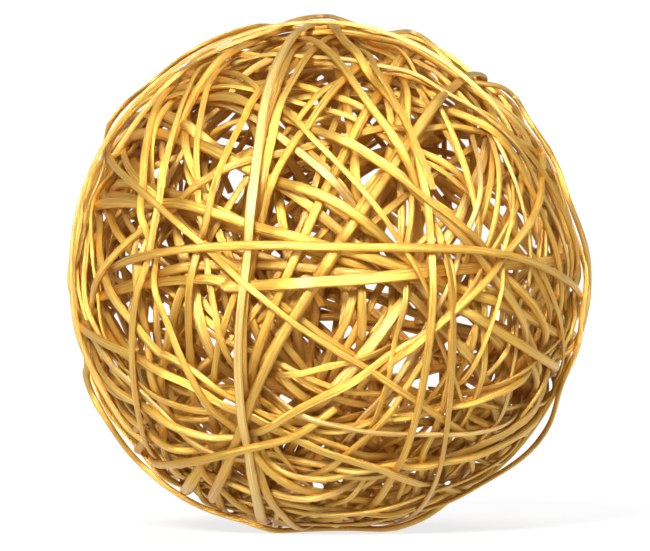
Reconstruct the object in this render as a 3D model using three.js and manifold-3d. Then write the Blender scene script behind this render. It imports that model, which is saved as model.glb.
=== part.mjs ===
// Decorative ball of gold-painted split willow. Every cane is a hoop of its own, bent round the
// ball and woven through the others, and its two cut ends lie side by side without meeting.
// Millimetres, +Z up. The ball stands on a small flat spot at z = 0, and its front faces -Y.
import * as THREE from "three";
import { mergeVertices } from "three/addons/utils/BufferGeometryUtils.js";
import Module from "manifold-3d";

const { Manifold, Mesh: ManifoldMesh } = await Module().then((wasm) => (wasm.setup(), wasm));
const radians = THREE.MathUtils.degToRad;

// Driving dimensions.
const SHELL_RADIUS = 94; // middle of the woven shell
const CENTRE_HEIGHT = 97.8; // of the ball's centre over its flat spot
const FLAT_DEPTH = 0.6; // most that is worn off a cane which reaches the flat spot
const CANE_TURN = 348; // degrees of its hoop that one cane covers
const CANE_STEPS = 31; // straight lengths that one cane is bent in
const THICKNESS_TO_WIDTH = 0.55; // of a split cane, which is about half round
const TAPER = 0.16; // share of its width that a cane loses from its thick end to its thin one
const WANDER = 0.02; // sideways waviness of a hoop, in ball radii
const STRAY = 0.24; // how far a hoop may leave its plane behind, in ball radii
const CROSSING_GAP = 0.32; // air between two canes where they cross
const STANDING_CANES = [1, 4, 37]; // the canes that the ball stands on, the first under its middle

// How the canes are laid. Each line is one cane as it shows from the front: the two places where it
// goes round behind the outline, in degrees anticlockwise from the right; how far its front half
// bows out from the straight line between them, in ball radii; and its width in millimetres.
// In front the first lies deepest and the last on top, and behind it is the other way round.
const CANES = [
  [158, 348, 0.1, 3.6],
  [118, 270, 0.2, 3.8],
  [47, 223, 0.1, 3.9],
  [232, 406, 0.25, 4.0],
  [68, 260, 0.0, 2.9],
  [252, 392, 0.15, 2.8],
  [124, 300, 0.3, 3.0],
  [152, 318, 0.3, 3.6],
  [-64, 64, 0.35, 3.0],
  [-75, 45, 0.35, 2.4],
  [173, 335, 0.2, 2.9],
  [84, 222, -0.15, 2.8],
  [24, 264, 0.25, 3.2],
  [14, 200, -0.3, 3.0],
  [-73, 142, 0.6, 2.1],
  [112, 248, 0.4, 2.8],
  [-12, 187, 0.175, 3.9],
  [-24, 161, 0.15, 4.0],
  [-30, 141, 0.17, 4.2],
  [-28, 137, 0.5, 2.8],
  [-38, 144, 0.86, 3.2],
  [118, 290, 0.82, 3.0],
  [205, 330, 0.275, 4.0],
  [-96, 53, 0.35, 2.3],
  [110, 233, 0.23, 3.6],
  [198, 352, 0.36, 2.5],
  [206, 384, 0.78, 3.4],
  [181, 335, 0.33, 2.9],
  [-31, 131, 0.35, 3.2],
  [189, 302, 0.03, 4.0],
  [-50, 75, 0.52, 2.5],
  [-30, 100, 0.55, 2.5],
  [54, 243, 0.085, 4.0],
  [-6, 148, 0.62, 2.4],
  [147, 319, 0.145, 3.0],
  [93, 256, 0.16, 4.0],
  [224, 394, 0.31, 3.4],
  [-78, 98, 0.43, 3.3],
  [-6, 183, 0.2, 3.4],
];

// The plane of a hoop on the unit sphere, from what shows of its front half.
function hoopPlane(from, to, bow) {
  const side = radians((from + to) / 2);
  const chord = Math.cos(radians((to - from) / 2));
  const outward = new THREE.Vector3(Math.cos(side), 0, Math.sin(side));
  const axis = outward.clone().multiplyScalar(Math.sqrt(1 - (chord + bow) ** 2));
  axis.add(new THREE.Vector3(0, bow, 0)).normalize();
  return { axis, offset: axis.dot(outward) * chord };
}

function makeCane([from, to, bow, width], index) {
  const { axis, offset } = hoopPlane(from, to, bow);
  const across = new THREE.Vector3(0, 1, 0).cross(axis).normalize();
  const back = axis.clone().cross(across);
  const rim = Math.sqrt(1 - offset ** 2);
  const knots = Array.from({ length: CANE_STEPS + 1 }, (_, k) => {
    const turn = radians(17 + 137.5 * index + (CANE_TURN * k) / CANE_STEPS);
    const wander = WANDER * (Math.sin(2 * turn + 1.9 * index) + 0.6 * Math.sin(5 * turn + 2.3 * index));
    const behind = Math.max(0, offset * axis.y + rim * back.y * Math.sin(turn));
    return axis
      .clone()
      .multiplyScalar(offset + wander + STRAY * Math.sin(2.6 * index) * behind ** 2)
      .addScaledVector(across, rim * Math.cos(turn))
      .addScaledVector(back, rim * Math.sin(turn))
      .normalize();
  });
  const radii = knots.map(() => SHELL_RADIUS);
  return { index, width, thickness: width * THICKNESS_TO_WIDTH, axis, across, back, knots, radii };
}

// How far out of the shell's middle a cane would rather lie, in millimetres.
function preference(cane, direction) {
  if (STANDING_CANES.includes(cane.index) && direction.z < -0.95) return 6;
  const turn = Math.atan2(direction.dot(cane.back), direction.dot(cane.across));
  const order = cane.index / (CANES.length - 1) - 0.5;
  return -10 * order * direction.y + 0.75 * Math.sin(3 * turn + 2.4 * cane.index);
}

// Places along a cane, close enough together that no crossing falls between two of them.
function placesAlong(cane) {
  const perStep = 12;
  return Array.from({ length: CANE_STEPS * perStep + 1 }, (_, n) => {
    const k = Math.min(Math.floor(n / perStep), CANE_STEPS - 1);
    const share = n / perStep - k;
    const [a, b] = [cane.knots[k], cane.knots[k + 1]];
    const direction = a.clone().lerp(b, share).normalize();
    return { cane, n, k, direction, near: (1 - share) * a.dot(direction), far: share * b.dot(direction) };
  });
}

const heightAt = ({ cane, k, near, far }, radii = cane.radii) => near * radii[k] + far * radii[k + 1];

function lift({ cane, k, near, far }, by) {
  const weight = near ** 2 + far ** 2;
  cane.radii[k] += (by * near) / weight;
  cane.radii[k + 1] += (by * far) / weight;
}

// A crossing is one unbroken run of places where two canes lie one over the other.
function findCrossings(canes) {
  const crossings = [];
  const places = canes.map(placesAlong);
  for (const a of canes)
    for (const b of canes.slice(a.index + 1)) {
      const reach = ((a.width + b.width) / 2 / SHELL_RADIUS) ** 2;
      let run = null;
      for (const p of places[a.index])
        for (const q of places[b.index]) {
          if (p.direction.distanceToSquared(q.direction) > reach) continue;
          if (!run || p.n - run.last > 3) crossings.push((run = { pairs: [] }));
          run.last = p.n;
          run.pairs.push([p, q]);
        }
    }
  for (const crossing of crossings) {
    const [a, b] = crossing.pairs[0].map((place) => place.cane);
    crossing.middle = crossing.pairs[crossing.pairs.length >> 1];
    crossing.apart = (a.thickness + b.thickness) / 2 + CROSSING_GAP;
    const direction = crossing.middle[0].direction;
    crossing.sign = Math.sign(preference(a, direction) - preference(b, direction));
  }
  return crossings;
}

// Let the canes find their places: each is springy and keeps to the shell, but lies clear of the
// canes it crosses, and none reaches through the floor.
function settle(canes, crossings, rounds, spring, pull) {
  for (let round = 0; round < rounds; round++) {
    for (const { radii } of canes)
      for (let k = 0; k <= CANE_STEPS; k++) {
        const middle = (radii[Math.max(k - 1, 0)] + radii[Math.min(k + 1, CANE_STEPS)]) / 2;
        radii[k] += spring * (middle - radii[k]) + pull * (SHELL_RADIUS - radii[k]);
      }
    for (const { pairs, sign, apart } of crossings)
      for (const [a, b] of pairs) {
        const short = apart - sign * (heightAt(a) - heightAt(b));
        if (short <= 0) continue;
        lift(a, (sign * short) / 2);
        lift(b, (-sign * short) / 2);
      }
    for (const { index, knots, radii, thickness } of canes)
      for (let k = 0; k <= CANE_STEPS; k++) {
        if (knots[k].z > -0.9) continue;
        const floor = -CENTRE_HEIGHT / knots[k].z - thickness / 2;
        radii[k] = Math.min(radii[k], floor + FLAT_DEPTH);
        if (STANDING_CANES.includes(index) && knots[k].z < -0.97) radii[k] = Math.max(radii[k], floor + FLAT_DEPTH / 2);
      }
  }
}

// Swap the canes at the crossings where both would be straighter the other way round.
function swapCrossings(canes, crossings) {
  const eased = canes.map(({ radii }) => {
    let now = radii;
    for (let round = 0; round < 6; round++)
      now = now.map((r, k) => {
        const sum = now[Math.max(k - 1, 0)] + now[Math.min(k + 1, CANE_STEPS)] + 2 * r;
        return 0.95 * (sum / 4) + 0.05 * SHELL_RADIUS;
      });
    return now;
  });
  for (const crossing of crossings) {
    const [a, b] = crossing.middle.map((place) => heightAt(place, eased[place.cane.index]));
    crossing.sign = Math.sign(a - b);
  }
}

// A cane's path, with its frame: the flat side of the split cane faces the middle of the ball.
class CanePath extends THREE.Curve {
  constructor(cane) {
    super();
    this.cane = cane;
    this.points = cane.knots.map((knot, k) => knot.clone().multiplyScalar(cane.radii[k]));
  }
  getSpacedPoints() {
    return this.points;
  }
  computeFrenetFrames() {
    const frames = { tangents: [], normals: [], binormals: [] };
    this.points.forEach((point, k) => {
      const last = this.points.length - 1;
      const tangent = this.points[Math.min(k + 1, last)].clone().sub(this.points[Math.max(k - 1, 0)]).normalize();
      const out = point.clone().normalize();
      const side = tangent.clone().cross(out).normalize();
      const size = 1 - (TAPER * k) / last;
      frames.tangents.push(tangent);
      frames.normals.push(side.clone().cross(tangent).multiplyScalar(size * this.cane.thickness));
      frames.binormals.push(side.multiplyScalar(size * this.cane.width));
    });
    return frames;
  }
}

// Half a round, in widths: flat inside, narrower outside.
const SECTION = new THREE.Shape([
  new THREE.Vector2(-0.5, -0.5),
  new THREE.Vector2(0.5, -0.28),
  new THREE.Vector2(0.5, 0.28),
  new THREE.Vector2(-0.5, 0.5),
]);

// Wear the cane flat where it reaches the floor.
function standOnFloor(geometry) {
  const welded = mergeVertices(geometry.deleteAttribute("normal").deleteAttribute("uv"), 1e-4);
  const solid = Manifold.ofMesh(
    new ManifoldMesh({
      numProp: 3,
      vertProperties: Float32Array.from(welded.attributes.position.array),
      triVerts: Uint32Array.from(welded.index.array),
    }),
  ).trimByPlane([0, 0, 1], 0);
  const mesh = solid.getMesh();
  const worn = new THREE.BufferGeometry();
  worn.setAttribute("position", new THREE.BufferAttribute(mesh.vertProperties, 3));
  worn.setIndex(new THREE.BufferAttribute(mesh.triVerts, 1));
  return worn;
}

const canes = CANES.map(makeCane);
const crossings = findCrossings(canes);
for (const cane of canes) cane.radii = cane.knots.map((knot) => SHELL_RADIUS + preference(cane, knot));
for (let stage = 0; stage < 16; stage++) {
  settle(canes, crossings, 30, 0.3, 0.03);
  swapCrossings(canes, crossings);
}
settle(canes, crossings, 210, 0.1, 0.01);
settle(canes, crossings, 200, 0.02, 0.002);
settle(canes, crossings, 100, 0, 0);

const group = new THREE.Group();
group.name = "willow_ball";
for (const cane of canes) {
  const path = new CanePath(cane);
  let geometry = new THREE.ExtrudeGeometry(SECTION, { steps: CANE_STEPS, extrudePath: path });
  geometry.translate(0, 0, CENTRE_HEIGHT);
  geometry.computeBoundingBox();
  geometry = geometry.boundingBox.min.z < 0 ? standOnFloor(geometry) : geometry;
  const shade = 0.94 + 0.06 * Math.sin(2.7 * cane.index);
  const colour = new THREE.Color(0xc9962f).multiplyScalar(shade);
  const material = new THREE.MeshStandardMaterial({ color: colour, roughness: 0.42, metalness: 0.55 });
  const mesh = new THREE.Mesh(geometry, material);
  mesh.name = `cane_${String(cane.index + 1).padStart(2, "0")}`;
  group.add(mesh);
}

const box = new THREE.Box3().setFromObject(group);
const middle = box.getCenter(new THREE.Vector3());
for (const mesh of group.children) mesh.geometry.translate(-middle.x, -middle.y, 0);

export default group;
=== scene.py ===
import math

import bpy
import numpy as np
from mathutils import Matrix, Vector, kdtree


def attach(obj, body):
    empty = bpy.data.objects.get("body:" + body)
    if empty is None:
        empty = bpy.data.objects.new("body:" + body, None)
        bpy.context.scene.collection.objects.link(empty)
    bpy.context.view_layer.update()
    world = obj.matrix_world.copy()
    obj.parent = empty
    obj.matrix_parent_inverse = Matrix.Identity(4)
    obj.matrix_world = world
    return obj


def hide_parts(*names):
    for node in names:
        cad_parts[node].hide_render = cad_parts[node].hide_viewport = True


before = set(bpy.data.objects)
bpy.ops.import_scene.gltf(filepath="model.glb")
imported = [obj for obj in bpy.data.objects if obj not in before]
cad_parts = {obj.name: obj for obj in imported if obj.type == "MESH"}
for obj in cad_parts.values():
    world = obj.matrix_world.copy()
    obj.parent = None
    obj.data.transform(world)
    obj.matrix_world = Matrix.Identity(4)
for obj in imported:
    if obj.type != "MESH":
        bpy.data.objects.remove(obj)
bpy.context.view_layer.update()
random = np.random.default_rng(11)

# A decorative ball of gold-painted willow canes, in metres. The thick canes follow the CAD canes,
# and thinner ones are woven in between them.
SECTION_DEPTH = 0.62  # thickness of a cane over its width
CAD_DEPTH = 0.55
STEPS_PER_KNOT = 5
GAP = 0.00012  # air between two canes where they cross
MILLI = 0.001

# Canes that show from the front: how far each lies out of the middle of the shell there, its width, both in
# millimetres, and the places that it passes, in ball radii to the right and up from the ball's middle.
FRONT_CANES = [
    (4, 4.0, (-0.13, 0.93), (-0.21, 0.7), (-0.255, 0.5), (-0.29, 0.25), (-0.31, 0), (-0.315, -0.3), (-0.31, -0.55)),
    (4, 3.2, (-0.2, 0.95), (-0.1, 0.94), (0, 0.865), (0.1, 0.73), (0.2, 0.59), (0.3, 0.44), (0.38, 0.3), (0.43, 0.18),
     (0.46, 0.05), (0.47, -0.25), (0.44, -0.5), (0.37, -0.7)),
    (3, 3.2, (-0.66, 0.72), (-0.6, 0.755), (-0.5, 0.755), (-0.3, 0.695), (-0.1, 0.62), (0.1, 0.52), (0.3, 0.385), (0.35, 0.33)),
    (3, 2.8, (-0.5, 0.81), (-0.4, 0.865), (-0.25, 0.887), (0, 0.865), (0.2, 0.81), (0.4, 0.74), (0.6, 0.61), (0.77, 0.45), (0.87, 0.27)),
    (4, 3.3, (0.79, 0.48), (0.73, 0.25), (0.6, 0.02), (0.4, -0.2), (0.1, -0.39), (-0.1, -0.5), (-0.35, -0.64), (-0.6, -0.69)),
    (3, 4.0, (-0.65, -0.27), (-0.5, -0.36), (-0.3, -0.5), (0, -0.63), (0.15, -0.69), (0.28, -0.74)),
    (4, 3.4, (-0.98, -0.1), (-0.85, -0.29), (-0.65, -0.5), (-0.45, -0.67), (-0.2, -0.74), (-0.05, -0.77)),
    (4, 2.6, (-0.85, -0.3), (-0.78, -0.45), (-0.7, -0.6), (-0.63, -0.7), (-0.5, -0.76), (-0.35, -0.8)),
    (4, 3.0, (-0.9, -0.3), (-0.88, -0.45), (-0.8, -0.6), (-0.6, -0.78), (-0.4, -0.86), (-0.2, -0.89), (0, -0.9)),
    (4, 3.3, (-0.3, -0.65), (-0.2, -0.72), (0, -0.74), (0.3, -0.72), (0.5, -0.7), (0.7, -0.6), (0.8, -0.45), (0.91, -0.28), (0.96, -0.15)),
    (1, 4.4, (-0.57, 0.56), (-0.33, 0.45), (-0.17, 0.38), (0, 0.31), (0.12, 0.235), (0.27, 0.12)),
    (3, 2.4, (-0.04, 0.53), (0.1, 0.38), (0.2, 0.25), (0.33, 0.04), (0.4, -0.1), (0.43, -0.22)),
    (2, 3.0, (-0.9, -0.08), (-0.8, 0.09), (-0.6, 0.27), (-0.45, 0.36), (-0.33, 0.42)),
    (3, 3.2, (-0.5, 0.73), (-0.56, 0.6), (-0.65, 0.35), (-0.72, 0.07)),
    (7, 2.6, (-0.98, 0), (-0.955, 0.1), (-0.91, 0.28), (-0.86, 0.42), (-0.835, 0.54), (-0.82, 0.6), (-0.8, 0.625), (-0.74, 0.68),
     (-0.66, 0.745), (-0.5, 0.87), (-0.3, 0.95), (-0.18, 0.97)),
    (7, 2.8, (-0.93, -0.3), (-0.9, -0.42), (-0.82, -0.56), (-0.72, -0.69), (-0.6, -0.79), (-0.42, -0.88), (-0.25, -0.93),
     (-0.1, -0.985), (0.05, -1.0), (0.2, -0.975), (0.32, -0.93), (0.45, -0.88)),
    (7, 2.8, (0.99, 0.1), (0.98, -0.1), (0.95, -0.25), (0.9, -0.4), (0.835, -0.58), (0.8, -0.635), (0.7, -0.71), (0.55, -0.81),
     (0.4, -0.89), (0.2, -0.94)),
    (7, 3.0, (-0.6, 0.75), (-0.45, 0.86), (-0.2, 0.955), (-0.02, 1.0), (0.05, 0.99), (0.2, 0.945), (0.33, 0.94), (0.4, 0.9),
     (0.55, 0.78)),
    (7, 2.6, (0.5, 0.8), (0.6, 0.76), (0.69, 0.715), (0.715, 0.695), (0.75, 0.64), (0.8, 0.57), (0.88, 0.44), (0.93, 0.3), (0.98, 0.15),
     (1, 0), (0.97, -0.2), (0.9, -0.35)),
    (3, 2.8, (0.38, 0.29), (0.5, 0.2), (0.63, 0.09), (0.75, -0.1), (0.83, -0.3), (0.84, -0.45)),
    (2, 3.0, (0.44, 0.67), (0.5, 0.55), (0.55, 0.4), (0.6, 0.2)),
    (1, 3.0, (0.36, 0.5), (0.45, 0.45), (0.55, 0.36), (0.7, 0.2)),
    (2, 3.0, (0.46, -0.5), (0.6, -0.45), (0.82, -0.32)),
    (1, 2.8, (0.45, -0.5), (0.6, -0.56), (0.79, -0.6)),
    (0, 4.4, (0.34, -0.06), (0.25, -0.17), (0.12, -0.33)),
    (2, 2.8, (0.24, -0.91), (0.37, -0.7), (0.55, -0.3)),
    (-1, 3.0, (-0.54, -0.13), (-0.45, -0.2), (-0.33, -0.28)),
    (-1, 3.4, (-0.3, -0.1), (-0.2, -0.32), (-0.05, -0.48)),
    (-2, 3.0, (-0.5, -0.35), (-0.3, -0.18), (-0.1, 0)),
    (1, 3.4, (-0.56, -0.05), (-0.6, -0.2), (-0.63, -0.38), (-0.64, -0.65)),
    (2, 2.8, (-0.28, 0.66), (-0.35, 0.52), (-0.4, 0.38), (-0.44, 0.22), (-0.48, 0.13)),
    (2, 3.0, (-0.07, 0.59), (-0.15, 0.46), (-0.22, 0.33), (-0.3, 0.12)),
    (3, 2.6, (0.75, 0.27), (0.78, 0.1), (0.78, -0.05)),
    (1, 2.8, (0.87, 0.22), (0.87, 0), (0.8, -0.12)),
    (0, 3.0, (-0.95, 0), (-0.93, -0.08), (-0.85, -0.22), (-0.7, -0.34), (-0.62, -0.42), (-0.45, -0.46), (-0.38, -0.48)),
    (2, 4.0, (-0.41, -0.83), (-0.39, -0.7)),
    (2, 3.6, (-0.28, -0.72), (-0.24, -0.85)),
    (-2, 3.6, (0.14, -0.02), (0.14, -0.25)),
    (-1, 2.8, (0.6, -0.16), (0.8, -0.25)),
    (2, 2.4, (0.62, 0), (0.61, -0.1), (0.55, -0.27), (0.5, -0.33)),
    (1, 3.2, (0.55, -0.27), (0.62, -0.36), (0.69, -0.57)),
    (2, 2.6, (0.1, -0.63), (0.2, -0.5), (0.3, -0.35), (0.38, -0.22)),
    (1, 2.6, (-0.05, -0.54), (0.1, -0.58), (0.25, -0.55), (0.4, -0.52)),
    (-2, 3.4, (0.12, 0.03), (0.08, -0.15), (0.02, -0.27)),
    (-1, 3.0, (-0.78, -0.1), (-0.77, -0.3)),
    (2, 2.8, (0.67, 0.55), (0.65, 0.42), (0.62, 0.28), (0.59, 0.1)),
    (2, 4.4, (-0.9, -0.07), (-0.7, -0.02), (-0.45, 0), (-0.35, -0.03)),
    (2, 2.8, (-0.05, -0.95), (0.02, -0.83), (0.12, -0.7)),
    (2, 2.6, (0.1, -0.95), (-0.02, -0.86), (-0.14, -0.74)),
]
# Canes whose cut end shows in front: it is at the first place.
CUT_CANES = [
    (2, 4.4, (0.53, 0.82), (0.45, 0.7), (0.35, 0.55), (0.27, 0.45), (0.1, 0.18)),
    (2, 4.2, (-0.9, 0.3), (-0.7, 0.3), (-0.5, 0.27), (-0.25, 0.19), (0, 0.12), (0.1, 0.1)),
    (5, 3.0, (-0.01, 1.0), (0.08, 0.9), (0.2, 0.75), (0.3, 0.6)),
    (1, 4.0, (-0.66, 0.66), (-0.55, 0.6), (-0.4, 0.5), (-0.25, 0.42)),
    (4, 3.0, (0.46, -0.92), (0.3, -0.9), (0.1, -0.87), (-0.1, -0.8)),
]
FILLING_CANES = 13
RIM_CANES = 1
OUTLINE = 0.1015  # how far out the outline is


def ball_centre(points):
    """The middle of the sphere that fits the points best."""
    a = np.column_stack([2 * points, np.ones(len(points))])
    return np.linalg.lstsq(a, (points**2).sum(1), rcond=None)[0][:3]


def node_knots(node):
    """The bends of a CAD cane from its thick end to its thin end: the two corners of its flat side at each."""
    co = np.unique(np.round([v.co for v in node.data.vertices], 6), axis=0)
    co = co[co[:, 2] > 2e-6]  # without what its flat spot adds
    middle = co.mean(0)
    axes = np.linalg.svd(co - middle)[2]
    turn = np.arctan2((co - middle) @ axes[1], (co - middle) @ axes[0])
    order = np.argsort(turn)
    turn, co = turn[order], co[order]
    first = int(np.argmax(np.diff(np.append(turn, turn[0] + 2 * math.pi)))) + 1
    turn, co = np.unwrap(np.roll(turn, -first)), np.roll(co, -first, axis=0)
    knots = []
    for group in np.split(co, np.flatnonzero(np.diff(turn) > math.radians(4)) + 1):
        apart = np.linalg.norm(group[:, None] - group[None], axis=2)
        i, j = np.unravel_index(apart.argmax(), apart.shape)
        knots.append((group[i], group[j]))
    knots = np.array(knots)
    widths = np.linalg.norm(knots[:, 0] - knots[:, 1], axis=1)
    if widths[-1] > widths[0]:
        knots, widths = knots[::-1], widths[::-1]
    return knots.mean(1), widths


def smooth_curve(points, pieces):
    """A Catmull-Rom curve through the points, each stretch in that many pieces."""
    padded = np.vstack([2 * points[0] - points[1], points, 2 * points[-1] - points[-2]])
    t = (np.arange(pieces) / pieces)[:, None]
    p0, p1, p2, p3 = (padded[i : len(padded) - 3 + i, None] for i in range(4))
    curve = 0.5 * (2 * p1 + (p2 - p0) * t + (2 * p0 - 5 * p1 + 4 * p2 - p3) * t**2 + (3 * p1 - p0 - 3 * p2 + p3) * t**3)
    return np.vstack([curve.reshape(-1, points.shape[1]), points[-1:]])


def even_curve(points, count):
    """The points of a smooth curve on the ball, evenly spaced."""
    dense = smooth_curve(points, 8)
    dense /= np.linalg.norm(dense, axis=1)[:, None]
    way = np.concatenate([[0], np.cumsum(np.linalg.norm(np.diff(dense, axis=0), axis=1))])
    even = np.column_stack([np.interp(np.linspace(0, way[-1], count), way, c) for c in dense.T])
    return even / np.linalg.norm(even, axis=1)[:, None]


def hoop_through(places, cut):
    """Directions along a cane that passes the places in front and goes on round the back."""
    places = np.array(places)
    depth = np.sqrt(np.clip(1 - (places**2).sum(1), 0.0004, None))
    front = np.column_stack([places[:, 0], -depth, places[:, 1]])
    front = even_curve(front, 24)
    span = math.acos(np.clip(front[0] @ front[-1], -1, 1))
    level = np.cross(front[0], front[-1])
    level /= np.linalg.norm(level)
    # how far the middle bows out of the great circle, less of it for short stretches
    bow = np.clip((front[12] @ level) * min(1, span / 1.6), -0.3, 0.3)
    middle_way = front[0] + front[-1]
    middle_way /= np.linalg.norm(middle_way)
    behind = np.linspace(span / 2, 2 * math.pi - span / 2, 26)[2:-2, None]
    ahead = np.cross(level, middle_way)
    back = middle_way * np.cos(behind) + ahead * np.sin(behind) + level * bow * -np.cos(behind * 1.0) * np.abs(np.cos(behind))
    ring = np.vstack([front, back[:-3]]) if cut else np.vstack([back[11:], front, back[:11]])
    ring /= np.linalg.norm(ring, axis=1)[:, None]
    return even_curve(ring, 31 * STEPS_PER_KNOT + 1)


def limb_heights(places, d):
    """Where a cane shows at the outline, how far out of the ball's middle it is there; elsewhere 0."""
    places = np.array(places)
    reach = np.hypot(*places.T)
    turn = np.unwrap(np.arctan2(places[:, 1], places[:, 0]))
    here = np.arctan2(d[:, 2], d[:, 0])
    here += 2 * math.pi * np.round((turn.mean() - here) / (2 * math.pi))
    order = np.argsort(turn)
    found = np.interp(here, turn[order], reach[order], 0, 0)
    return np.where((d[:, 1] < 0.02) & (found > 0.93), found, 0)


def hoop(axis, offset, phase, count=31 * STEPS_PER_KNOT + 1):
    across = np.cross([0, 1, 0.01], axis)
    across /= np.linalg.norm(across)
    back = np.cross(axis, across)
    turn = phase + np.radians(349) * np.arange(count) / (count - 1)
    wander = 0.016 * np.sin(2 * turn + 3 * phase) + 0.012 * np.sin(5 * turn + phase)
    rim = math.sqrt(1 - offset**2)
    d = np.outer(offset + wander, axis) + rim * (np.outer(np.cos(turn), across) + np.outer(np.sin(turn), back))
    return d / np.linalg.norm(d, axis=1)[:, None]


# The canes before they are woven: directions from the ball's middle, heights, widths, thicknesses.
names = sorted(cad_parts)
traced = [node_knots(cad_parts[n]) for n in names]
centre = ball_centre(np.vstack([k for k, _ in traced]))
canes = []
for knots, widths in traced:
    out = (knots - centre) / np.linalg.norm(knots - centre, axis=1)[:, None]
    curve = smooth_curve(knots + out * (widths * CAD_DEPTH / 2)[:, None], STEPS_PER_KNOT) - centre
    height = np.linalg.norm(curve, axis=1)
    canes.append(dict(d=curve / height[:, None], h=height, w=smooth_curve(widths[:, None], STEPS_PER_KNOT)[:, 0], cad=True))
SHELL = float(np.mean(np.concatenate([c["h"] for c in canes])))
print("centre", centre, "shell", SHELL, [len(c["h"]) for c in canes][:5])

for i, (level, width, *places) in enumerate(FRONT_CANES + CUT_CANES):
    d = hoop_through(places, i >= len(FRONT_CANES))
    h = SHELL + MILLI * (-level * d[:, 1] + 0.7 * np.sin(3 * np.arange(len(d)) / 25 + i))
    cane = dict(d=d, h=h, w=MILLI * width * np.linspace(1.05, 0.92, len(d)), cad=False, cut=i >= len(FRONT_CANES))
    if level > 6:
        cane.update(h=np.maximum(h, OUTLINE * limb_heights(places, d)), roof=0.008, hold=25)
    canes.append(cane)
for i in range(FILLING_CANES):
    up = 0.7 - 1.4 * (i + 0.5) / FILLING_CANES
    spin = 2.39996 * i * 1.7
    axis = np.array([math.cos(spin) * math.sqrt(1 - up**2), math.sin(spin) * math.sqrt(1 - up**2), up])
    d = hoop(axis, random.uniform(-0.42, 0.42), random.uniform(0, 6.28))
    shift = random.normal(size=3) * 2.6 + np.array([0, 2.2, 0])
    h = SHELL + MILLI * (d @ shift + random.uniform(-5, -1))
    canes.append(dict(d=d, h=h, w=MILLI * random.uniform(2.4, 4.6) * np.linspace(1.08, 0.85, len(d)), cad=False))
for i in range(RIM_CANES):
    tilt, spin = math.radians(6 + 2.4 * i), 2.39996 * i
    axis = np.array([math.sin(tilt) * math.cos(spin), math.cos(tilt), math.sin(tilt) * math.sin(spin)])
    d = hoop(axis, [-1, 1, -1][i % 3] * random.uniform(0.02, 0.4), random.uniform(0, 6.28))
    h = SHELL + MILLI * (d @ (random.normal(size=3) * 3.0) + random.uniform(1.5, 4.5))
    canes.append(dict(d=d, h=h, w=MILLI * random.uniform(2.0, 2.8) * np.linspace(1.08, 0.85, len(d)), cad=False, roof=0.007))

for i, cane in enumerate(canes):
    cane["kind"] = ["split", "round", "ridged", "shaved", "split", "ribbon", "round", "shaved"][i % 8]
    cane["depth"] = {"split": 0.62, "round": 0.78, "shaved": 0.5, "ridged": 0.6, "ribbon": 0.36}[cane["kind"]]
    cane["roll"] = random.uniform(-0.6, 0.6)
    # slight bends to the sides, as at the nodes of the twig
    n = len(cane["d"])
    bends = np.sort(random.uniform(0, n - 1, 9))
    sideways = np.interp(np.arange(n), bends, random.normal(size=9) * 0.0007)
    sideways = np.convolve(np.pad(sideways, 1, "edge"), [0.25, 0.5, 0.25], "valid")
    lateral = np.cross(cane["d"], np.gradient(cane["d"], axis=0))
    lateral /= np.linalg.norm(lateral, axis=1)[:, None]
    d = cane["d"] + lateral * sideways[:, None] / SHELL
    cane["d"] = d / np.linalg.norm(d, axis=1)[:, None]
    # the cut ends are tucked in
    from_end = np.minimum(np.arange(len(cane["h"])) + (99 if cane.get("cut") else 0), np.arange(len(cane["h"]))[::-1])
    cane["h"] = cane["h"] - 0.005 * np.clip(1 - from_end / 12, 0, 1) ** 1.5


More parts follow.
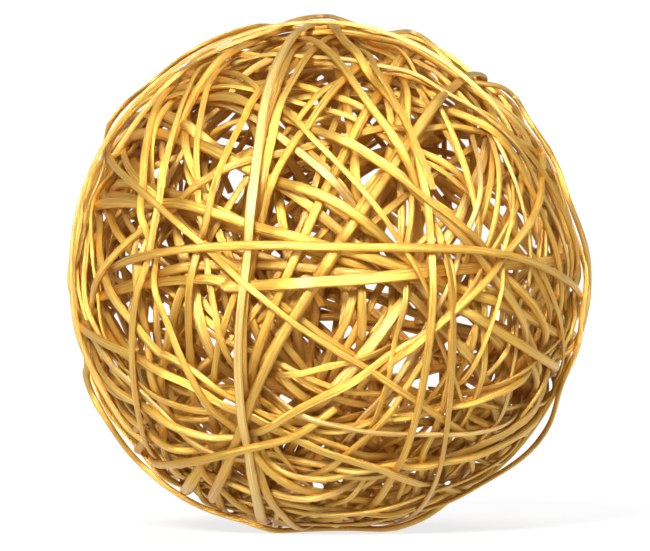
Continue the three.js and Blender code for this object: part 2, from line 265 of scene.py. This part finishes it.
def weave(canes, rounds):
    """Moves the canes in and out until none runs through another."""
    sizes = [len(c["h"]) for c in canes]
    starts = np.cumsum([0] + sizes[:-1])
    D, H, W = (np.concatenate([c[k] for c in canes]) for k in "dhw")
    T = W * np.concatenate([np.full(n, c["depth"]) for c, n in zip(canes, sizes)])
    # places: three on each straight piece
    k = np.concatenate([np.repeat(np.arange(n - 1), 3) + s for n, s in zip(sizes, starts)])
    owner = np.concatenate([np.full(3 * (n - 1), i) for i, n in enumerate(sizes)])
    share = np.tile([1 / 6, 1 / 2, 5 / 6], len(k) // 3)
    place = D[k] * (1 - share)[:, None] + D[k + 1] * share[:, None]
    width, depth = W[k] * (1 - share) + W[k + 1] * share, T[k] * (1 - share) + T[k + 1] * share
    tree = kdtree.KDTree(len(k))
    for i, p in enumerate(place):
        tree.insert(p, i)
    tree.balance()
    pairs = []
    for i, p in enumerate(place):
        for _, j, far in tree.find_range(p, 0.0043 / SHELL):
            if owner[j] > owner[i]:
                pairs.append((i, j, far))
    pairs = np.array(pairs)
    a, b = pairs[:, 0].astype(int), pairs[:, 1].astype(int)
    near = pairs[:, 2] * SHELL < 0.46 * (width[a] + width[b])
    a, b = a[near], b[near]
    order = np.lexsort((a, owner[b], owner[a]))
    a, b = a[order], b[order]
    fresh = np.r_[True, (np.diff(owner[a]) != 0) | (np.diff(owner[b]) != 0) | (np.diff(a) > 5)]
    run = np.cumsum(fresh) - 1
    apart = (depth[a] + depth[b]) / 2 + GAP
    lifts = lambda H: H[k] * (1 - share) + H[k + 1] * share

    def signs(H):
        P = lifts(H)
        return np.sign(np.bincount(run, P[a] - P[b]))[run]

    inner = np.ones(len(H), bool)
    inner[starts] = False
    inner[starts + np.array(sizes) - 1] = False
    inner = np.flatnonzero(inner)
    ends = np.concatenate([starts, starts + np.array(sizes) - 1])
    inward = np.concatenate([starts + 1, starts + np.array(sizes) - 2])
    total = (1 - share) ** 2 + share**2
    floor = np.where(centre[2] + D[:, 2] * SHELL < 0.02, (centre[2]) / np.maximum(-D[:, 2], 0.5) - T / 2, 1)

    roof = np.concatenate([np.full(n, c.get("roof", 0.003)) for c, n in zip(canes, sizes)])
    roof = np.minimum(floor, SHELL + roof + 0.0025 * np.maximum(-D[:, 1], 0))
    hold = np.concatenate([np.full(n, c.get("hold", 1.0)) for c, n in zip(canes, sizes)])
    wished = np.minimum(H, roof)

    def bend(H):
        out = np.zeros(len(H))
        out[inner] = (H[inner - 1] + H[inner + 1]) / 2 - H[inner]
        return out

    def ease(H, spring, stiff, pull):
        lack = bend(H)
        new = H + spring * lack - stiff * bend(lack)
        return new + pull * hold * (wished - new)

    def part(H, sign):
        P = lifts(H)
        short = np.maximum(apart - sign * (P[a] - P[b]), 0)
        act = short > 0
        push = np.zeros(len(H))
        count = np.zeros(len(H))
        for place_, by in ((a, sign * short / 2), (b, -sign * short / 2)):
            q = place_[act]
            for knot, weight in ((k[q], (1 - share[q])), (k[q] + 1, share[q])):
                push += np.bincount(knot, by[act] * weight / total[q] * weight, len(H))
                count += np.bincount(knot, weight, len(H))
        H = H + 1.5 * push / np.maximum(count, 1e-9) * (count > 0)
        return np.minimum(H, roof), short

    sign = signs(H)
    for stage in range(rounds):
        for _ in range(30):
            H = ease(H, 0.08, 0.32, 0.01)
            H, short = part(H, sign)
        if stage < rounds - 3:
            eased = H
            for _ in range(60):
                eased = ease(eased, 0.1, 0.4, 0.01)
            new = signs(eased)
            print("stage", stage, "swapped", int(((new != sign) & fresh).sum()), "short mm", short.max() * 1000)
            sign = new
    for _ in range(100):
        H = ease(H, 0.02, 0.15, 0.002)
        H, short = part(H, sign)
    for _ in range(40):
        H, short = part(H, sign)
    for _ in range(12):
        H = ease(H, 0, 0.3, 0)
    print("places", len(k), "pairs", len(a), "runs", run[-1] + 1, "short mm", short.max() * 1000, (short > 2e-4).mean())
    print("heights mm", np.percentile(H, [0, 1, 5, 50, 95, 99, 100]) * 1000)
    for c, s, n in zip(canes, starts, sizes):
        c["h"] = H[s : s + n]


weave(canes, 9)

SECTION = 12
STRETCH = 2  # rings of the mesh per step

# Sections of a cane, round from the middle of its inner side: shares of half its width and half its depth.
# The numbers behind are the corners that are crisp.
SECTIONS = {
    "split": ([(0, -0.85), (0.6, -0.82), (1, -0.5), (0.98, 0.02), (0.8, 0.52), (0.44, 0.88), (0, 1),
               (-0.44, 0.88), (-0.8, 0.52), (-0.98, 0.02), (-1, -0.5), (-0.6, -0.82)], (2, 10)),
    "shaved": ([(0, -0.95), (0.55, -0.92), (0.97, -0.3), (0.94, 0.15), (0.66, 0.84), (0.25, 0.98), (-0.15, 0.93),
                (-0.6, 0.74), (-0.93, 0.1), (-1, -0.3), (-0.75, -0.8), (-0.4, -0.92)], (2, 4, 7, 9)),
    "ridged": ([(0, -0.8), (0.6, -0.8), (0.97, -0.35), (0.93, 0.25), (0.62, 0.72), (0.28, 0.99), (-0.1, 0.8),
                (-0.45, 0.85), (-0.86, 0.45), (-1, -0.1), (-0.9, -0.55), (-0.5, -0.8)], (2, 5, 7, 10)),
    "ribbon": ([(0, -1), (0.6, -1), (0.97, -0.6), (1, 0.1), (0.85, 0.8), (0.45, 0.95), (0.02, 0.82), (-0.4, 1),
                (-0.85, 0.85), (-1, 0.1), (-0.95, -0.6), (-0.55, -1)], (2, 4, 8, 10)),
    "round": ([(math.sin(k * math.pi / 6), -math.cos(k * math.pi / 6)) for k in range(12)], ()),
}


def cane_mesh(name, cane, index):
    rng = np.random.default_rng(100 + index)
    points = centre + cane["d"] * cane["h"][:, None]
    rows = smooth_curve(np.column_stack([points, cane["w"]]), STRETCH)
    p, w = rows[:, :3], rows[:, 3]
    n = len(p)
    out = p - centre
    out /= np.linalg.norm(out, axis=1)[:, None]
    along = np.gradient(p, axis=0)
    step = np.linalg.norm(along, axis=1)
    length = np.concatenate([[0], np.cumsum(np.linalg.norm(np.diff(p, axis=0), axis=1))])
    along /= step[:, None]
    side = np.cross(along, out)
    side /= np.linalg.norm(side, axis=1)[:, None]
    out = np.cross(side, along)
    roll = cane["roll"] + 0.3 * np.sin(length / 0.045 + rng.uniform(0, 6)) + 0.12 * np.sin(length / 0.017 + rng.uniform(0, 6))
    c, s = np.cos(roll)[:, None], np.sin(roll)[:, None]
    side, out = side * c + out * s, out * c - side * s
    swell = 1 + 0.05 * np.sin(length / 0.031 + rng.uniform(0, 6)) + 0.03 * np.sin(length / 0.011 + rng.uniform(0, 6))
    for at in np.arange(rng.uniform(0.02, 0.09), length[-1], rng.uniform(0.07, 0.13)):
        swell += rng.uniform(0.04, 0.26) * np.exp(-(((length - at) / 0.0018) ** 2))
    corners, crisp = SECTIONS[cane["kind"]]
    sx, sy = np.array(corners).T
    if rng.uniform() < 0.5:
        sx, sy, crisp = -np.roll(sx[::-1], 1), np.roll(sy[::-1], 1), [(SECTION - k) % SECTION for k in crisp]
        sx, sy, crisp = -sx[::1], sy, crisp
        sx = -sx
    ridge = 1 + 0.04 * np.sin(length[:, None] / 0.04 + rng.uniform(0, 6, SECTION)[None])
    half = (w / 2 * swell)[:, None]
    offset_side = half * sx[None] * ridge
    offset_out = half * cane["depth"] * sy[None] * ridge
    v = p[:, None] + offset_side[..., None] * side[:, None] + offset_out[..., None] * out[:, None]
    verts = v.reshape(-1, 3)
    verts[:, 2] = np.maximum(verts[:, 2], 0)  # the flat spot that the ball stands on
    i, j = np.meshgrid(np.arange(n - 1), np.arange(SECTION), indexing="ij")
    a, b = i * SECTION + j, i * SECTION + (j + 1) % SECTION
    quads = np.stack([a, b, b + SECTION, a + SECTION], axis=-1).reshape(-1, 4)
    ends = [list(range(SECTION))[::-1], [(n - 1) * SECTION + k for k in range(SECTION)]]
    mesh = bpy.data.meshes.new(name)
    mesh.from_pydata(verts.tolist(), [], quads.tolist() + ends)
    mesh.validate()
    edges = np.zeros(2 * len(mesh.edges), int)
    mesh.edges.foreach_get("vertices", edges)
    spokes = edges.reshape(-1, 2) % SECTION
    sharp = mesh.attributes.new("sharp_edge", "BOOLEAN", "EDGE")
    sharp.data.foreach_set("value", (spokes[:, 0] == spokes[:, 1]) & np.isin(spokes[:, 0], list(crisp)))
    flat = np.ones(len(mesh.polygons), bool)
    flat[-2:] = False
    mesh.polygons.foreach_set("use_smooth", flat)
    uv = mesh.uv_layers.new(name="along")
    loops = np.array([l.vertex_index for l in mesh.loops])
    ring, spoke = loops // SECTION, loops % SECTION
    # the seam's last strip goes up to 1
    co_u = length[ring]
    co_v = spoke / SECTION
    quad_loops = len(quads) * 4
    last = np.repeat(quads[:, 0] % SECTION == SECTION - 1, 4)
    co_v[:quad_loops] = np.where(last & (spoke[:quad_loops] == 0), 1.0, co_v[:quad_loops])
    uv.data.foreach_set("uv", np.column_stack([co_u * 10, co_v]).ravel())
    # how much a point faces the ball's middle, how much it faces up, how deep it lies in the shell, a number for each
    # cane, and how near it is to a cut end; the material darkens by the first three: partly less paint, partly painted
    # shade
    outward = (verts - centre) / np.linalg.norm(verts - centre, axis=1)[:, None]
    normal = (verts - np.repeat(p, SECTION, axis=0))
    normal /= np.linalg.norm(normal, axis=1)[:, None]
    facing = (normal * outward).sum(1)
    up = normal[:, 2] + 0.5 * outward[:, 2]
    depth = (np.linalg.norm(verts - centre, axis=1) - SHELL) / 0.008
    cut = np.repeat(np.minimum(length, length[-1] - length), SECTION)
    for label, values in (("facing", facing), ("up", up), ("deep", depth), ("tint", np.full(len(verts), rng.uniform())), ("end", cut)):
        layer = mesh.attributes.new(label, "FLOAT", "POINT")
        layer.data.foreach_set("value", values.astype(np.float32))
    o = bpy.data.objects.new(name, mesh)
    bpy.context.scene.collection.objects.link(o)
    return o


def gold_paint():
    m = bpy.data.materials.new("gold_painted_willow")
    m.use_nodes = True
    nt = m.node_tree
    nodes, links = nt.nodes, nt.links
    nodes.clear()

    def node(kind, inputs=(), **props):
        x = nodes.new(kind)
        for k, v in props.items():
            setattr(x, k, v)
        for key, value in dict(inputs).items():
            if isinstance(value, bpy.types.NodeSocket):
                links.new(value, x.inputs[key])
            else:
                x.inputs[key].default_value = value
        return x

    def attribute(name):
        return node("ShaderNodeAttribute", attribute_name=name).outputs["Fac"]

    def math_(op, a, b=0.0, clamp=False):
        return node("ShaderNodeMath", {0: a, 1: b}, operation=op, use_clamp=clamp).outputs[0]

    def ramp(value, stops):
        r = node("ShaderNodeValToRGB", {"Fac": value})
        e = r.color_ramp.elements
        while len(e) < len(stops):
            e.new(0.5)
        for el, (at, colour) in zip(e, stops):
            el.position = at
            el.color = (*colour, 1)
        return r.outputs["Color"]

    def mix(factor, a, b, blend="MIX"):
        x = node("ShaderNodeMix", data_type="RGBA", blend_type=blend)
        for key, value in ((0, factor), (6, a), (7, b)):
            if isinstance(value, bpy.types.NodeSocket):
                links.new(value, x.inputs[key])
            else:
                x.inputs[key].default_value = value if key == 0 else (*value, 1)
        return x.outputs[2]

    uv = node("ShaderNodeUVMap", uv_map="along").outputs["UV"]
    tint = attribute("tint")
    shifted = node("ShaderNodeCombineXYZ", {"X": math_("MULTIPLY", tint, 37.0), "Y": math_("MULTIPLY", tint, 91.0)}).outputs[0]
    place = node("ShaderNodeVectorMath", {0: uv, 1: shifted}, operation="ADD").outputs[0]
    fibres_at = node("ShaderNodeMapping", {"Vector": place, "Scale": (3.2, 16, 1)}).outputs[0]
    fibres = node("ShaderNodeTexNoise", {"Vector": fibres_at, "Scale": 1.0, "Detail": 5.0, "Roughness": 0.65}).outputs["Fac"]
    streak_at = node("ShaderNodeMapping", {"Vector": place, "Scale": (1.6, 34, 1)}).outputs[0]
    streaks = node("ShaderNodeTexNoise", {"Vector": streak_at, "Scale": 1.0, "Detail": 3.0, "Roughness": 0.5}).outputs["Fac"]
    blotch_at = node("ShaderNodeMapping", {"Vector": place, "Scale": (3.5, 1.6, 1)}).outputs[0]
    blotches = node("ShaderNodeTexNoise", {"Vector": blotch_at, "Scale": 1.0, "Detail": 3.0}).outputs["Fac"]
    grit_at = node("ShaderNodeTexCoord").outputs["Object"]
    grit = node("ShaderNodeTexNoise", {"Vector": grit_at, "Scale": 2200.0, "Detail": 2.0}).outputs["Fac"]

    gold = ramp(fibres, [(0.32, (0.42, 0.19, 0.016)), (0.46, (0.70, 0.41, 0.06)), (0.57, (0.80, 0.52, 0.10)), (0.72, (0.96, 0.76, 0.32))])
    gold = mix(math_("MULTIPLY", ramp(blotches, [(0.5, (0, 0, 0)), (0.68, (1, 1, 1))]), 0.35), gold, (0.66, 0.33, 0.03))
    gold = mix(math_("MULTIPLY", tint, 0.55), gold, ramp(tint, [(0.0, (0.90, 0.66, 0.2)), (0.5, (0.70, 0.44, 0.06)), (0.75, (0.58, 0.32, 0.035)), (1.0, (0.93, 0.74, 0.30))]))
    gold = mix(ramp(streaks, [(0.34, (0.75, 0.75, 0.75)), (0.44, (0, 0, 0))]), gold, (0.40, 0.19, 0.02))
    # less paint and painted shade on the sides that face the middle: browner there
    bare_and_shaded = node("ShaderNodeMapRange", {"Value": attribute("facing"), "From Min": 0.4, "From Max": -0.55}).outputs[0]
    # painted shade: sides that face down are darkened to a deep brown, in patches
    painted_shade_below = node("ShaderNodeMapRange", {"Value": attribute("up"), "From Min": 0.25, "From Max": -1.25}).outputs[0]
    patch = node("ShaderNodeMapRange", {"Value": blotches, "From Min": 0.35, "From Max": 0.65, "To Min": 0.6, "To Max": 1.3}).outputs[0]
    colour = mix(math_("MULTIPLY", bare_and_shaded, 0.8), gold, (0.66, 0.28, 0.025))
    colour = mix(math_("MULTIPLY", math_("MULTIPLY", painted_shade_below, patch), 0.2, True), colour, (0.46, 0.19, 0.014))
    # canes that lie deeper in the shell are browner: partly less paint, partly painted shade
    deep_paint_and_shade = node("ShaderNodeMapRange", {"Value": attribute("deep"), "From Min": 0.4, "From Max": -1.0}).outputs[0]
    colour = mix(math_("MULTIPLY", deep_paint_and_shade, 0.35), colour, (0.66, 0.31, 0.03))
    cut = node("ShaderNodeMapRange", {"Value": attribute("end"), "From Min": 0.00002, "From Max": 0.00001}).outputs[0]
    colour = mix(math_("MULTIPLY", cut, 0.7), colour, (0.62, 0.47, 0.36))
    rough = node("ShaderNodeMapRange", {"Value": fibres, "From Min": 0.3, "From Max": 0.75, "To Min": 0.46, "To Max": 0.30}).outputs[0]
    metal = node("ShaderNodeMapRange", {"Value": math_("MAXIMUM", bare_and_shaded, cut), "To Min": 0.9, "To Max": 0.8}).outputs[0]
    height = math_("ADD", math_("ADD", fibres, math_("MULTIPLY", streaks, 0.8)), math_("MULTIPLY", grit, 0.2))
    bump = node("ShaderNodeBump", {"Height": height, "Strength": 0.7, "Distance": 0.0009}).outputs[0]
    shader = node("ShaderNodeBsdfPrincipled", {"Base Color": colour, "Roughness": rough, "Metallic": metal, "Normal": bump, "Coat Weight": 0.32, "Coat Roughness": 0.34})
    out = node("ShaderNodeOutputMaterial", {"Surface": shader.outputs[0]})
    return m


paint = gold_paint()
kinds = ["split", "split", "round", "split", "flat"]
for i, cane in enumerate(canes):
    piece = cane_mesh(f"willow_cane_{i + 1:02d}", cane, i)
    piece.data.materials.append(paint)
    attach(piece, "root")
    if cane["cad"]:
        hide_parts(names[i])

# the pale studio
def plain_material(name, colour, rough=0.9, glow=0):
    m = bpy.data.materials.new(name)
    m.use_nodes = True
    b = m.node_tree.nodes["Principled BSDF"]
    b.inputs["Base Color"].default_value = (*colour, 1)
    b.inputs["Roughness"].default_value = rough
    b.inputs["Specular IOR Level"].default_value = 0
    b.inputs["Emission Color"].default_value = (1, 1, 1, 1)
    b.inputs["Emission Strength"].default_value = glow
    return m


bpy.ops.mesh.primitive_plane_add(size=60, location=(0, 0, 0))
floor = bpy.context.object
floor.name = "studio_floor"
floor.data.materials.append(plain_material("pale_floor", (0.16, 0.16, 0.16), glow=0.78))

world = bpy.data.worlds.new("studio")
bpy.context.scene.world = world
world.use_nodes = True
sky = world.node_tree
seen, around = sky.nodes["Background"], sky.nodes.new("ShaderNodeBackground")
seen.inputs["Strength"].default_value = 1.05
seen.inputs["Color"].default_value = around.inputs["Color"].default_value = (1, 1, 1, 1)
around.inputs["Strength"].default_value = 0.36
rays, blend = sky.nodes.new("ShaderNodeLightPath"), sky.nodes.new("ShaderNodeMixShader")
sky.links.new(rays.outputs["Is Camera Ray"], blend.inputs[0])
sky.links.new(around.outputs[0], blend.inputs[1])
sky.links.new(seen.outputs[0], blend.inputs[2])
sky.links.new(blend.outputs[0], sky.nodes["World Output"].inputs[0])

middle = Vector(centre)


def sun(name, towards, strength, softness, colour=(1, 1, 1)):
    light = bpy.data.lights.new(name, "SUN")
    light.energy = strength
    light.angle = math.radians(softness)
    light.color = colour
    o = bpy.data.objects.new(name, light)
    o.rotation_euler = Vector(towards).to_track_quat("Z", "Y").to_euler()
    bpy.context.scene.collection.objects.link(o)


sun("key", (-0.3, -1, 0.55), 7.6, 18)
sun("fill", (0.3, -0.4, 1), 2.8, 50)

camera = bpy.data.cameras.new("camera")
camera.lens = 314
camera.sensor_width = 36
camera.clip_end = 20
eye = bpy.data.objects.new("camera", camera)
eye.location = Vector((0, -2.19, 0.0985))
eye.rotation_euler = (math.radians(90), 0, 0)
bpy.context.scene.collection.objects.link(eye)
bpy.context.scene.camera = eye
bpy.context.scene.view_settings.view_transform = "Standard"
